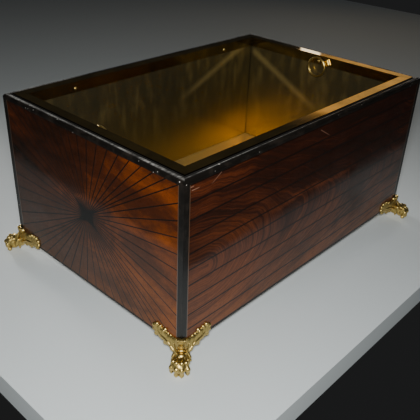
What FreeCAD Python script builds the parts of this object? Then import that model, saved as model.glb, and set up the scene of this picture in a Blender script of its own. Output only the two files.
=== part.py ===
import FreeCAD, Part
import math
import os

# A rectangular planter box: a veneered and inlaid case on four cast paw feet, with a brass liner
# that hangs in it by a flat rim and lifts out. Millimetres, Z up, X along the case.
# The origin is on the floor under the middle of the case.

os.makedirs("parts", exist_ok=True)

Vector = FreeCAD.Vector

# Case.
case_length = 450.0
case_width = 302.0
standing_height = 20.0
panel_height = 190.0
board_thickness = 16.0
bottom_thickness = 10.0
bottom_rebate = 8.0
lap_depth = 6.0
cut_overrun = 5.0

# Veneer, inlay and edgings.
veneer_thickness = 1.5
inlay_width = 1.2
inlay_depth = 0.9
same_point_share = 1e-6
line_bands = 10
ray_bands = 17
post_size = 7.0
light_line_width = 1.0
base_line_height = 2.5
bead_width = 8.0
bead_height = 6.2

# Liner.
rim_over_bead = 0.6
rim_gap = 0.4
rim_sheet = 1.2
collar_depth = 13.4
tray_sheet = 1.0
tray_clearance = 1.5
under_tray_clearance = 19.8

# Rivets through the collar.
rivet_spread = 138.0
rivet_drop_share = 0.6
rivet_shank_radius = 1.2
rivet_head_radius = 2.3
rivet_head_height = 1.5
rivet_tail_radius = 1.9
rivet_tail_height = 0.5

# Lifting rings and their lugs.
ring_radius = 13.75
ring_wire_radius = 1.5
ring_drop = 16.4
ring_standoff = 4.6
lug_turn = 61.0
lug_plate_start = 11.6
lug_plate_reach = 9.6
lug_plate_length = 8.4
lug_plate_thickness = 1.2
lug_barrel_length = 5.2
lug_barrel_wall = 1.0
lug_bead_radius = 2.0
lug_bead_length = 7.4
free_clearance = 0.35

# Foot castings. Shares are of the wing's length, its rise above the case's underside
# and its drop below it.
wing_length = 43.5
wing_rise = 14.0
wing_drop = 9.5
wing_thickness = 2.5
wing_rise_shares = [
    (0.12, 0.80), (0.23, 0.82), (0.29, 0.73), (0.35, 0.84), (0.42, 0.78), (0.50, 0.92), (0.58, 0.97),
    (0.66, 0.84), (0.74, 0.95), (0.80, 0.88), (0.87, 1.02), (0.94, 0.93), (1.00, 0.62),
]
wing_drop_shares = [
    (0.96, -0.04), (0.90, 0.14), (0.87, 0.34), (0.82, 0.18), (0.76, 0.24), (0.71, 0.18), (0.66, 0.34),
    (0.61, 0.44), (0.55, 0.74), (0.49, 0.60), (0.44, 0.66), (0.39, 0.64), (0.34, 0.82), (0.29, 0.84), (0.24, 1.04),
]
lobe_radius = 3.6
lobe_sink = 1.2
lobe_shares = [(0.77, 0.50), (0.91, 0.55)]
vein_radius = 1.3
vein_shares = [(0.64, 0.06), (0.38, 0.10), (0.14, 0.60)]

# Corner, leg and paw of a foot, in shares of the case's standing height. Sections of the
# hollow-fronted corner: height above the underside, how far the front stands out, and the radius.
corner_section_shares = [
    (0.725, 0.230, 0.330),
    (0.525, 0.205, 0.320),
    (0.325, 0.160, 0.310),
    (0.100, 0.210, 0.350),
    (-0.200, 0.360, 0.430),
    (-0.450, 0.480, 0.470),
]

# Rounded masses: sideways, outward and upward from the case's lower corner, then the radius.
leg_shares = (0.00, 0.22, -0.47, 0.46)
paw_shares = (-0.08, 0.72, -0.48, 0.43)
heel_shares = (-0.08, 0.56, -0.68, 0.37)
boss_shares = (0.00, 0.50, -0.09, 0.12)

# Tapered toes and tufts of hair: where each one starts and where it ends.
toe_shares = [
    ((-0.48, 0.76, -0.42), (-0.49, 0.66, -0.87)),
    ((-0.27, 0.98, -0.36), (-0.26, 0.95, -0.87)),
    ((0.03, 1.01, -0.35), (0.03, 0.99, -0.87)),
    ((0.32, 0.88, -0.42), (0.34, 0.81, -0.87)),
]
toe_knuckle_share = 0.165
toe_tip_share = 0.150
tuft_shares = [
    ((-0.41, 0.25, -0.23), (-0.48, 0.43, -0.53)),
    ((0.41, 0.25, -0.23), (0.48, 0.43, -0.53)),
    ((0.00, 0.27, -0.60), (0.00, 0.24, -0.83)),
]
tuft_root_share = 0.12
tuft_tip_share = 0.06
plate_reach = 40.0
plate_thickness = 3.0

# Pins and screws.
pin_ray_share = 0.25
pin_up = 10.8
pin_shank_radius = 0.9
pin_head_radius = 1.8
pin_head_height = 1.4
pin_length = 14.0
screw_head_radius = 3.6
screw_shank_radius = 1.8
screw_cone_height = 2.2
plate_screw_margin = 4.5
plate_screw_length = 23.0
bottom_screw_length = 24.0
long_side_screws = 4
short_side_screws = 2

# Derived places. Insets are measured inward from the outer faces of the case.
half_length = case_length / 2
half_width = case_width / 2
underside = standing_height
panel_top = underside + panel_height
rim_top = panel_top + bead_height + rim_over_bead
rim_under = rim_top - rim_sheet
wall_inset = veneer_thickness + board_thickness
rim_inset = bead_width + rim_gap
bottom_inset = wall_inset - bottom_rebate
plate_screw_inset = bottom_inset + plate_screw_margin
tray_inset = wall_inset + tray_clearance + tray_sheet
collar_inset = tray_inset + rim_sheet
light_inset = post_size + light_line_width
panel_low = underside + base_line_height
root_half = math.sqrt(0.5)
ray_half_span = half_width - light_inset
ray_half_rise = (panel_top - panel_low) / 2
ray_middle = (panel_top + panel_low) / 2

# The pins of a foot go in between the corner ray of an end panel and the ray next to it.
pin_rise_share = (underside + pin_up - panel_low) / ray_half_rise
pin_across = ray_half_span * (1 - pin_rise_share) * (1 - 2 * pin_ray_share / ray_bands)
pin_along = half_width - pin_across


def block(x0, x1, y0, y1, z0, z1):
    return Part.makeBox(x1 - x0, y1 - y0, z1 - z0, Vector(x0, y0, z0))


def inset_block(inset, z0, z1):
    """A block as large as the case, drawn in by the inset on all four sides."""
    return block(inset - half_length, half_length - inset, inset - half_width, half_width - inset, z0, z1)


def turned(shape, degrees):
    copy = shape.copy()
    copy.rotate(Vector(0, 0, 0), Vector(0, 0, 1), degrees)
    return copy


def half_turned(shape):
    return turned(shape, 180)


def prism(points, direction):
    wire = Part.makePolygon(points + [points[0]])
    return Part.Face(wire).extrude(direction)


def joined(shapes):
    return shapes[0].multiFuse(shapes[1:]).removeSplitter()


def save(name, solids):
    shape = solids[0] if len(solids) == 1 else Part.makeCompound(solids)
    shape.exportStep(os.path.join("parts", name + ".step"))


def mitre_sector(along_x):
    """The part of the plan that belongs to the front side (or the left one) when corners are mitred."""
    low = underside - cut_overrun
    up = Vector(0, 0, rim_top - low + cut_overrun)
    run = half_width
    if along_x:
        return prism([
            Vector(-half_length, -half_width, low),
            Vector(half_length, -half_width, low),
            Vector(half_length - run, -half_width + run, low),
            Vector(-half_length + run, -half_width + run, low),
        ], up)
    return prism([
        Vector(-half_length, -half_width, low),
        Vector(-half_length + run, -half_width + run, low),
        Vector(-half_length, half_width, low),
    ], up)


front_sector = mitre_sector(True)
left_sector = mitre_sector(False)

# Fixings come first, because what they hold is drilled with them.


def spun(points, dome_height, place, direction):
    """A fixing turned from (along, radius) points, with a domed head behind the first of them."""
    corners = [Vector(radius, 0, along) for along, radius in points]
    edges = [Part.makeLine(first, last) for first, last in zip(corners, corners[1:])]
    start, end = corners[0], corners[-1]
    if dome_height:
        crown_radius = (start.x ** 2 + dome_height ** 2) / (2 * dome_height)
        half_angle = math.asin(start.x / crown_radius) / 2
        middle = Vector(crown_radius * math.sin(half_angle), 0,
                        crown_radius * (1 - math.cos(half_angle)) - dome_height)
        apex = Vector(0, 0, -dome_height)
        edges = [Part.Arc(apex, middle, start).toShape()] + edges
    else:
        apex = Vector(0, 0, start.z)
        edges = [Part.makeLine(apex, start)] + edges
    foot_of_axis = Vector(0, 0, end.z)
    edges += [Part.makeLine(end, foot_of_axis), Part.makeLine(foot_of_axis, apex)]
    solid = Part.Face(Part.Wire(edges)).revolve(Vector(0, 0, 0), Vector(0, 0, 1), 360)
    solid.Placement = FreeCAD.Placement(place, FreeCAD.Rotation(Vector(0, 0, 1), direction))
    return solid


def foot_pin():
    """A round-headed pin through a foot's wing into the front of the case."""
    face = Vector(pin_along, -wing_thickness, underside + pin_up)
    length = wing_thickness + pin_length
    points = [(0, pin_head_radius), (0, pin_shank_radius), (length, pin_shank_radius)]
    return spun(points, pin_head_height, face, Vector(0, 1, 0))


def wood_screw(x, y, head_z, length):
    """A countersunk screw driven upward, with its head flush at head_z."""
    points = [(0, screw_head_radius), (screw_cone_height, screw_shank_radius), (length, screw_shank_radius)]
    return spun(points, 0, Vector(x, y, head_z), Vector(0, 0, 1))


def mirrored_across_diagonal(shape):
    return shape.mirror(Vector(0, 0, 0), Vector(1, -1, 0))


corner_places = {
    "front_left": (-half_length, -half_width, 0),
    "front_right": (half_length, -half_width, 90),
    "back_right": (half_length, half_width, 180),
    "back_left": (-half_length, half_width, 270),
}


def at_corner(shape, corner):
    """A shape drawn with its corner at the origin, moved to one of the case's lower corners."""
    x, y, degrees = corner_places[corner]
    copy = turned(shape, degrees)
    copy.translate(Vector(x, y, 0))
    return copy


pin_pair = [foot_pin(), mirrored_across_diagonal(foot_pin())]
foot_screw = wood_screw(plate_screw_inset, plate_screw_inset, underside - plate_thickness, plate_screw_length)
foot_pins = [at_corner(pin, corner) for corner in corner_places for pin in pin_pair]
foot_screws = [at_corner(foot_screw, corner) for corner in corner_places]

margin_inset = wall_inset - bottom_rebate / 2
bottom_screws = []
for side in (-1, 1):
    for k in range(long_side_screws):
        x = case_length * ((k + 0.5) / long_side_screws - 0.5)
        bottom_screws.append(wood_screw(x, side * (half_width - margin_inset), underside, bottom_screw_length))
    for k in range(short_side_screws):
        y = case_width * ((k + 0.5) / short_side_screws - 0.5)
        bottom_screws.append(wood_screw(side * (half_length - margin_inset), y, underside, bottom_screw_length))

wood_fixings = foot_pins + foot_screws + bottom_screws

# Carcass: two long boards, two end boards lapped into them, and a bottom in a rebate.
bottom = inset_block(bottom_inset, underside, underside + bottom_thickness)
bead_seat = inset_block(0, panel_top, rim_top).cut(inset_block(bead_width, panel_top, rim_top))
post_pockets = []
for x_side in (-1, 1):
    for y_side in (-1, 1):
        x_outer, x_inner = x_side * half_length, x_side * (half_length - post_size)
        y_outer, y_inner = y_side * half_width, y_side * (half_width - post_size)
        post_pockets.append(block(min(x_outer, x_inner), max(x_outer, x_inner),
                                  min(y_outer, y_inner), max(y_outer, y_inner), underside, panel_top))

end_half = half_width - wall_inset + lap_depth
left_board = block(veneer_thickness - half_length, wall_inset - half_length,
                   -end_half, end_half, underside, rim_under)
front_board = block(veneer_thickness - half_length, half_length - veneer_thickness,
                    veneer_thickness - half_width, wall_inset - half_width, underside, rim_under)
front_board = front_board.cut([left_board, half_turned(left_board), bottom, bead_seat] + post_pockets)
left_board = left_board.cut([bottom, bead_seat])

front_board = front_board.cut(wood_fixings)
left_board = left_board.cut(wood_fixings)
save("carcass_front", [front_board])
save("carcass_back", [half_turned(front_board)])
save("carcass_left", [left_board])
save("carcass_right", [half_turned(left_board)])
save("bottom_board", [bottom.cut(wood_fixings)])

# Ebonised corner posts, the black base lines between them and the pale lines beside them.
for name, pocket in zip(("front_left", "back_left", "front_right", "back_right"), post_pockets):
    save("corner_post_" + name, [pocket])

front_base = block(post_size - half_length, half_length - post_size,
                   -half_width, veneer_thickness - half_width, underside, panel_low)
left_base = block(-half_length, veneer_thickness - half_length,
                  post_size - half_width, half_width - post_size, underside, panel_low)
save("base_line_front", [front_base])
save("base_line_back", [half_turned(front_base)])
save("base_line_left", [left_base])
save("base_line_right", [half_turned(left_base)])

front_lights = [
    block(post_size - half_length, light_inset - half_length,
          -half_width, veneer_thickness - half_width, panel_low, panel_top),
    block(half_length - light_inset, half_length - post_size,
          -half_width, veneer_thickness - half_width, panel_low, panel_top),
]
left_lights = [
    block(-half_length, veneer_thickness - half_length,
          post_size - half_width, light_inset - half_width, panel_low, panel_top),
    block(-half_length, veneer_thickness - half_length,
          half_width - light_inset, half_width - post_size, panel_low, panel_top),
]
save("light_lines_front", front_lights)
save("light_lines_back", [half_turned(line) for line in front_lights])
save("light_lines_left", left_lights)
save("light_lines_right", [half_turned(line) for line in left_lights])

# Long panels: level black lines that part the veneer into equal bands.
panel_band = (panel_top - panel_low) / line_bands
long_half = half_length - light_inset
front_lines = []
for k in range(1, line_bands):
    middle = panel_low + k * panel_band
    front_lines.append(block(-long_half, long_half, -half_width, inlay_depth - half_width,
                             middle - inlay_width / 2, middle + inlay_width / 2))
front_veneer = block(-long_half, long_half, -half_width, veneer_thickness - half_width, panel_low, panel_top)
front_veneer = front_veneer.cut(front_lines).cut(foot_pins)
save("veneer_front", [front_veneer])
save("veneer_back", [half_turned(front_veneer)])
save("stringing_front", front_lines)
save("stringing_back", [half_turned(line) for line in front_lines])

# End panels: rays run from the middle to points spaced evenly along the panel's edges,
# so that those on the upright edges meet the lines of the long panels.
def ray_ends():
    """Points around the end panel's edge, anticlockwise from the lower right corner."""
    ends = []
    for k in range(line_bands):
        ends.append((ray_half_span, ray_half_rise * (2 * k / line_bands - 1)))
    for k in range(ray_bands):
        ends.append((ray_half_span * (1 - 2 * k / ray_bands), ray_half_rise))
    return ends + [(-across, -up) for across, up in ends]


def edge_hit(direction, offset):
    """Where a line beside the middle, shifted by the offset to its left, meets the panel's edge."""
    start = (-offset * direction[1], offset * direction[0])
    limits = (ray_half_span, ray_half_rise)
    reach = min((math.copysign(limit, step) - begin) / step
                for limit, step, begin in zip(limits, direction, start) if step)
    return (start[0] + reach * direction[0], start[1] + reach * direction[1])


def sunburst_outline():
    """One closed outline round all the rays, which run together near the middle."""
    angles = [math.atan2(up, across) for across, up in ray_ends()]
    outline = []
    for k, angle in enumerate(angles):
        direction = (math.cos(angle), math.sin(angle))
        right = edge_hit(direction, -inlay_width / 2)
        left = edge_hit(direction, inlay_width / 2)
        outline.append(right)
        if min(abs(right[0] - left[0]), abs(right[1] - left[1])) > inlay_width * same_point_share:
            outline.append((math.copysign(ray_half_span, direction[0]),
                            math.copysign(ray_half_rise, direction[1])))
        outline.append(left)
        gap = (angles[(k + 1) % len(angles)] - angle) % (2 * math.pi)
        valley = inlay_width / 2 / math.sin(gap / 2)
        outline.append((valley * math.cos(angle + gap / 2), valley * math.sin(angle + gap / 2)))
    return outline


sunburst = prism([Vector(-half_length, across, ray_middle + up) for across, up in sunburst_outline()],
                 Vector(inlay_depth, 0, 0))
left_veneer = block(-half_length, veneer_thickness - half_length,
                    -ray_half_span, ray_half_span, panel_low, panel_top)
left_veneer = left_veneer.cut(sunburst).cut(foot_pins)
sunburst = sunburst.cut(foot_pins)
save("veneer_left", [left_veneer])
save("veneer_right", [half_turned(left_veneer)])
save("sunburst_left", sunburst.Solids)
save("sunburst_right", [half_turned(solid) for solid in sunburst.Solids])


# Half-round bead round the top edge, mitred at the corners.
def bead_profile(place):
    """A face for the bead; place turns an inset and a height into a point."""
    crown = bead_width / 2
    shoulder = bead_height - crown
    outer_low, outer_high = place(0, 0), place(0, shoulder)
    inner_high, inner_low = place(bead_width, shoulder), place(bead_width, 0)
    arc = Part.Arc(outer_high, place(crown, bead_height), inner_high).toShape()
    edges = [Part.makeLine(outer_low, outer_high), arc, Part.makeLine(inner_high, inner_low),
             Part.makeLine(inner_low, outer_low)]
    return Part.Face(Part.Wire(edges))


front_bead = bead_profile(lambda inset, up: Vector(-half_length, inset - half_width, panel_top + up))
front_bead = front_bead.extrude(Vector(case_length, 0, 0)).common(front_sector)
left_bead = bead_profile(lambda inset, up: Vector(inset - half_length, -half_width, panel_top + up))
left_bead = left_bead.extrude(Vector(0, case_width, 0)).common(left_sector)
save("top_bead_front", [front_bead])
save("top_bead_back", [half_turned(front_bead)])
save("top_bead_left", [left_bead])
save("top_bead_right", [half_turned(left_bead)])

# Liner: a tray of thin sheet inside a rim of four mitred angle strips.


def rivet(place, outward):
    """A round-headed rivet through collar and tray; place is on the collar's inner face."""
    grip = rim_sheet + tray_sheet
    points = [(0, rivet_head_radius), (0, rivet_shank_radius), (grip, rivet_shank_radius),
              (grip, rivet_tail_radius), (grip + rivet_tail_height, rivet_tail_radius)]
    return spun(points, rivet_head_height, place, outward)


rivet_height = rim_top - rim_sheet - (collar_depth - rim_sheet) * rivet_drop_share
front_rivets = [rivet(Vector(side * rivet_spread, collar_inset - half_width, rivet_height), Vector(0, -1, 0))
                for side in (-1, 1)]
left_rivet = rivet(Vector(collar_inset - half_length, 0, rivet_height), Vector(-1, 0, 0))
collar_rivets = front_rivets + [left_rivet]
collar_rivets = collar_rivets + [half_turned(solid) for solid in collar_rivets]
save("collar_rivets", collar_rivets)

tray_floor = underside + bottom_thickness + under_tray_clearance + tray_sheet
tray = inset_block(tray_inset - tray_sheet, tray_floor - tray_sheet, rim_under)
tray = tray.cut(inset_block(tray_inset, tray_floor, rim_under + cut_overrun)).cut(collar_rivets)
save("liner_tray", [tray])

rim_ring = inset_block(rim_inset, rim_under, rim_top)
collar_ring = inset_block(tray_inset, rim_top - collar_depth, rim_top)
rim_frame = joined([rim_ring, collar_ring])
rim_frame = rim_frame.cut(inset_block(collar_inset, rim_top - collar_depth - cut_overrun, rim_top + cut_overrun))
rim_frame = rim_frame.cut(collar_rivets)
front_rim = rim_frame.common(front_sector)
left_rim = rim_frame.common(left_sector)
save("liner_rim_front", [front_rim])
save("liner_rim_back", [half_turned(front_rim)])
save("liner_rim_left", [left_rim])
save("liner_rim_right", [half_turned(left_rim)])

# Lifting rings. Each hangs flat before an end of the liner with its wire through a lug beside it.
ring_centre = Vector(half_length - collar_inset - ring_standoff, 0, rim_top - ring_drop)
inward = Vector(-1, 0, 0)
lug_angle = math.radians(lug_turn)
toward_lug = Vector(0, -math.sin(lug_angle), math.cos(lug_angle))
along_wire = inward.cross(toward_lug)
right_ring = Part.makeTorus(ring_radius, ring_wire_radius, ring_centre, inward)

wire_sag = ring_radius - math.sqrt(ring_radius ** 2 - (lug_barrel_length / 2) ** 2)
lug_hole_radius = ring_wire_radius + wire_sag + free_clearance
lug_barrel_radius = lug_hole_radius + lug_barrel_wall


def lug_frame(out, along, off):
    """A point of the lug: outward from the ring's middle, along its wire, and off its plane."""
    return ring_centre + toward_lug * out + along_wire * along + inward * off


def lug_block(out0, out1, length, off0, off1):
    corners = [lug_frame(out0, -length / 2, off0), lug_frame(out1, -length / 2, off0),
               lug_frame(out1, length / 2, off0), lug_frame(out0, length / 2, off0)]
    return prism(corners, inward * (off1 - off0))


lug_plate = lug_block(lug_plate_start, lug_plate_start + lug_plate_reach, lug_plate_length,
                      -ring_standoff, lug_plate_thickness - ring_standoff)
lug_barrel = Part.makeCylinder(lug_barrel_radius, lug_barrel_length,
                               lug_frame(ring_radius, -lug_barrel_length / 2, 0), along_wire)
lug_stem = lug_block(ring_radius, ring_radius + lug_barrel_radius, lug_barrel_length, -ring_standoff, 0)
lug_bead_out = lug_plate_start + lug_plate_reach - lug_bead_radius
lug_bead = Part.makeCylinder(lug_bead_radius, lug_bead_length,
                             lug_frame(lug_bead_out, -lug_bead_length / 2, lug_plate_thickness - ring_standoff),
                             along_wire)
lug_bead = lug_bead.cut(lug_block(lug_plate_start, lug_plate_start + lug_plate_reach + lug_bead_radius,
                                  lug_plate_length + cut_overrun, -ring_standoff - cut_overrun, -ring_standoff))
lug_hole = Part.makeCylinder(lug_hole_radius, lug_barrel_length + 2 * cut_overrun,
                             lug_frame(ring_radius, -lug_barrel_length / 2 - cut_overrun, 0), along_wire)
right_lug = joined([lug_plate, lug_barrel, lug_stem, lug_bead]).cut(lug_hole)

save("lifting_ring_right", [right_ring])
save("lifting_ring_left", [half_turned(right_ring)])
save("ring_lug_right", [right_lug])
save("ring_lug_left", [half_turned(right_lug)])


# Feet: one casting, drawn with the case's lower corner at the origin and set at each corner.
def foot_point(place_shares):
    """A point given sideways, outward along the diagonal, and up from the case's underside."""
    aside, out, up = [share * standing_height for share in place_shares]
    return Vector((aside - out) * root_half, (-aside - out) * root_half, underside + up)


def ball(mass_shares):
    return Part.makeSphere(mass_shares[3] * standing_height, foot_point(mass_shares[:3]))


def limb(start_shares, end_shares, start_share, end_share):
    """Two balls and the cone that joins them."""
    start = foot_point(start_shares)
    run = foot_point(end_shares) - start
    cone = Part.makeCone(start_share * standing_height, end_share * standing_height, run.Length, start, run)
    return [ball(start_shares + (start_share,)), cone, ball(end_shares + (end_share,))]


def wing_point(share_along, share_up, out):
    up = share_up * (wing_rise if share_up > 0 else wing_drop)
    return Vector(share_along * wing_length, -out, underside + up)


def foot_wing():
    """The leafy wing that lies on the front face, with its lobes and its vein."""
    top = [wing_point(along, up, 0) for along, up in wing_rise_shares]
    low = [wing_point(along, -up, 0) for along, up in wing_drop_shares]
    curve = Part.BSplineCurve()
    curve.interpolate([wing_point(0, 1, 0)] + top + low + [wing_point(0, -1, 0)])
    closing = Part.makeLine(wing_point(0, -1, 0), wing_point(0, 1, 0))
    plate = Part.Face(Part.Wire([curve.toShape(), closing])).extrude(Vector(0, -wing_thickness, 0))
    shapes = [plate]
    for along, up in lobe_shares:
        shapes.append(Part.makeSphere(lobe_radius, wing_point(along, up, wing_thickness - lobe_sink)))
    vein = [wing_point(along, -up, wing_thickness) for along, up in vein_shares]
    for first, last in zip(vein, vein[1:]):
        run = last - first
        shapes.append(Part.makeCylinder(vein_radius, run.Length, first, run))
        shapes.append(Part.makeSphere(vein_radius, last))
    shapes.append(Part.makeSphere(vein_radius, vein[0]))
    return shapes


def foot_corner():
    """The corner piece between the wings, lofted through its sections."""
    circles = []
    for up, front, radius in corner_section_shares:
        centre = foot_point((0, front - radius, up))
        circles.append(Part.Wire(Part.makeCircle(radius * standing_height, centre, Vector(0, 0, 1))))
    return Part.makeLoft(circles, True, False)


def foot_casting():
    wing = foot_wing()
    shapes = wing + [mirrored_across_diagonal(shape) for shape in wing]
    shapes.append(foot_corner())
    shapes += [ball(shares) for shares in (leg_shares, paw_shares, heel_shares, boss_shares)]
    for knuckle, tip in toe_shares:
        shapes += limb(knuckle, tip, toe_knuckle_share, toe_tip_share)
    for root, tip in tuft_shares:
        shapes += limb(root, tip, tuft_root_share, tuft_tip_share)
    plate_low = underside - plate_thickness
    shapes.append(prism([Vector(0, 0, plate_low), Vector(plate_reach, 0, plate_low),
                         Vector(0, plate_reach, plate_low)], Vector(0, 0, plate_thickness)))
    # One after another, because fusing them all at once can lose some of the small masses.
    casting = shapes[0]
    for shape in shapes[1:]:
        casting = casting.fuse(shape)
    case_corner = block(0, half_width, 0, half_width, underside, panel_top)
    below_floor = block(-half_width, half_width, -half_width, half_width, -underside, 0)
    return casting.cut([case_corner, below_floor] + pin_pair + [foot_screw]).removeSplitter()


foot = foot_casting()
for corner in corner_places:
    save("foot_" + corner, [at_corner(foot, corner)])
save("foot_pins", foot_pins)
save("foot_screws", foot_screws)
save("bottom_screws", bottom_screws)
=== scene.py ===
import math
import bpy
from mathutils import Matrix, Vector


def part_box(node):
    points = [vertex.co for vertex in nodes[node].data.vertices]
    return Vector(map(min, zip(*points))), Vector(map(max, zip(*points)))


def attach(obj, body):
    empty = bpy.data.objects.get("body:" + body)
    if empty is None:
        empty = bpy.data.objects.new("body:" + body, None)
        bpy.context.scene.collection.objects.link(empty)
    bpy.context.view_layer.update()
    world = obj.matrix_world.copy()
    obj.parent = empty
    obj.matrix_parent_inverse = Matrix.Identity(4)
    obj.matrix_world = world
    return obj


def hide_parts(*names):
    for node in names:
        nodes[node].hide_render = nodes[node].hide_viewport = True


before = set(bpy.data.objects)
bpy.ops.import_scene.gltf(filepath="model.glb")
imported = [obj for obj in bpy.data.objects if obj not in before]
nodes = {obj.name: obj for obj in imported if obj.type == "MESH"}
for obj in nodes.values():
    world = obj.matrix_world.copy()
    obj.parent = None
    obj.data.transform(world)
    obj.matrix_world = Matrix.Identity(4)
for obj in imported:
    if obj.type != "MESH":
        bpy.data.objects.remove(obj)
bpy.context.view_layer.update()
bpy.ops.object.select_all(action="DESELECT")
corners = ("front_left", "front_right", "back_right", "back_left")
sides = ("front", "back", "left", "right")
mm = 0.001

# Sizes of the case that the wood's figure, its wear and the feet follow, from the frame, in metres.
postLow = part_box("corner_post_front_left")[0]
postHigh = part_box("corner_post_back_right")[1]
beadLow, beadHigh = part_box("top_bead_front")
case = {
    "halfLength": postHigh[0], "halfWidth": postHigh[1],
    "underside": postLow[2], "panelTop": postHigh[2],
    "beadWidth": beadHigh[1] - beadLow[1],
}


def feed(tree, value, socket):
    if isinstance(value, bpy.types.NodeSocket):
        tree.links.new(value, socket)
    else:
        socket.default_value = value


def newMaterial(name):
    material = bpy.data.materials.new(name)
    material.use_nodes = True
    tree = material.node_tree
    return material, tree, tree.nodes["Principled BSDF"]


def objectPlace(tree):
    return tree.nodes.new("ShaderNodeTexCoord").outputs["Object"]


def calc(tree, operation, first, second=0.0, third=None, clamp=False):
    node = tree.nodes.new("ShaderNodeMath")
    node.operation = operation
    node.use_clamp = clamp
    feed(tree, first, node.inputs[0])
    feed(tree, second, node.inputs[1])
    if third is not None:
        feed(tree, third, node.inputs[2])
    return node.outputs[0]


def addUp(tree, parts, start=0.0):
    # The sum of some values, each times its own share.
    total = start
    for value, share in parts:
        total = calc(tree, "MULTIPLY_ADD", value, share, total)
    return total


def distance(tree, first, second):
    return calc(tree, "ABSOLUTE", calc(tree, "SUBTRACT", first, second))


def split(tree, vector):
    node = tree.nodes.new("ShaderNodeSeparateXYZ")
    feed(tree, vector, node.inputs[0])
    return node.outputs


def combine(tree, x, y, z):
    node = tree.nodes.new("ShaderNodeCombineXYZ")
    for value, socket in zip((x, y, z), node.inputs):
        feed(tree, value, socket)
    return node.outputs[0]


def moved(tree, vector, scale, turn=(0, 0, 0), shift=(0, 0, 0)):
    node = tree.nodes.new("ShaderNodeMapping")
    feed(tree, vector, node.inputs["Vector"])
    node.inputs["Scale"].default_value = scale
    node.inputs["Rotation"].default_value = turn
    node.inputs["Location"].default_value = shift
    return node.outputs[0]


def noise(tree, vector, scale, detail, roughness=0.5, distortion=0.0):
    node = tree.nodes.new("ShaderNodeTexNoise")
    feed(tree, vector, node.inputs["Vector"])
    node.inputs["Scale"].default_value = scale
    node.inputs["Detail"].default_value = detail
    node.inputs["Roughness"].default_value = roughness
    node.inputs["Distortion"].default_value = distortion
    return node.outputs["Fac"]


def grain(tree, vector, stretch, scale, detail, roughness, distortion=0.0, turn=(0, 0, 0), shift=(0, 0, 0)):
    # Noise with its own stretch along each axis.
    return noise(tree, moved(tree, vector, stretch, turn, shift), scale, detail, roughness, distortion)


def cells(tree, vector, scale):
    # The distance to the nearest of some scattered points.
    node = tree.nodes.new("ShaderNodeTexVoronoi")
    feed(tree, vector, node.inputs["Vector"])
    node.inputs["Scale"].default_value = scale
    return node.outputs["Distance"]


def ramp(tree, factor, stops):
    node = tree.nodes.new("ShaderNodeValToRGB")
    feed(tree, factor, node.inputs[0])
    elements = node.color_ramp.elements
    while len(elements) < len(stops):
        elements.new(0.5)
    for element, (place, colour) in zip(elements, stops):
        element.position = place
        element.color = (colour, colour, colour, 1) if isinstance(colour, (int, float)) else (*colour, 1)
    return node.outputs[0]


def fade(tree, value, full, gone):
    # 1 at the first value, falling evenly to 0 at the second one.
    node = tree.nodes.new("ShaderNodeMapRange")
    feed(tree, value, node.inputs["Value"])
    node.inputs["From Min"].default_value = full
    node.inputs["From Max"].default_value = gone
    node.inputs["To Min"].default_value = 1.0
    node.inputs["To Max"].default_value = 0.0
    return node.outputs["Result"]


def mix(tree, factor, first, second, blend="MIX"):
    node = tree.nodes.new("ShaderNodeMix")
    node.data_type = "RGBA"
    node.blend_type = blend
    feed(tree, factor, node.inputs[0])
    for value, socket in ((first, node.inputs[6]), (second, node.inputs[7])):
        feed(tree, (*value, 1) if isinstance(value, tuple) else value, socket)
    return node.outputs[2]


def bump(tree, height, strength, depth, normal=None):
    node = tree.nodes.new("ShaderNodeBump")
    feed(tree, height, node.inputs["Height"])
    node.inputs["Strength"].default_value = strength
    node.inputs["Distance"].default_value = depth
    if normal is not None:
        feed(tree, normal, node.inputs["Normal"])
    return node.outputs[0]


# How a mark's strength runs from its start to its end, and how much of a round mark is solid.
marks = {"alongStops": [(0.0, 0.0), (0.06, 1.0), (0.75, 0.7), (1.0, 0.0)], "solidShare": 0.6}


def streak(tree, along, up, start, end, width):
    # How strongly a straight mark covers a place: 1 on its line, 0 beyond its width and its ends.
    runAlong, runUp = end[0] - start[0], end[1] - start[1]
    length = math.hypot(runAlong, runUp)
    share = calc(tree, "MULTIPLY_ADD", up, runUp / length ** 2,
                 calc(tree, "MULTIPLY_ADD", along, runAlong / length ** 2,
                      -(start[0] * runAlong + start[1] * runUp) / length ** 2))
    aside = calc(tree, "MULTIPLY_ADD", up, -runAlong / length,
                 calc(tree, "MULTIPLY_ADD", along, runUp / length,
                      (start[1] * runAlong - start[0] * runUp) / length))
    across = fade(tree, calc(tree, "ABSOLUTE", aside), 0.0, width)
    return calc(tree, "MULTIPLY", across, ramp(tree, share, marks["alongStops"]))


def spot(tree, place, centre, radius):
    # How strongly a round mark covers a place: 1 in its middle part, 0 beyond its radius.
    node = tree.nodes.new("ShaderNodeVectorMath")
    node.operation = "DISTANCE"
    feed(tree, place, node.inputs[0])
    feed(tree, centre, node.inputs[1])
    return fade(tree, node.outputs["Value"], radius * marks["solidShare"], radius)


def setFinish(tree, shader, colour, roughness, normal, fixed):
    # What varies over a surface is linked. What is the same all over is set on the shader's own sockets.
    feed(tree, colour, shader.inputs["Base Color"])
    feed(tree, roughness, shader.inputs["Roughness"])
    feed(tree, normal, shader.inputs["Normal"])
    for socket, value in fixed.items():
        shader.inputs[socket].default_value = value


def dress(material, *names):
    for name in names:
        mesh = nodes[name].data
        mesh.materials.clear()
        mesh.materials.append(material)


print("helpers ready")

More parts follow.
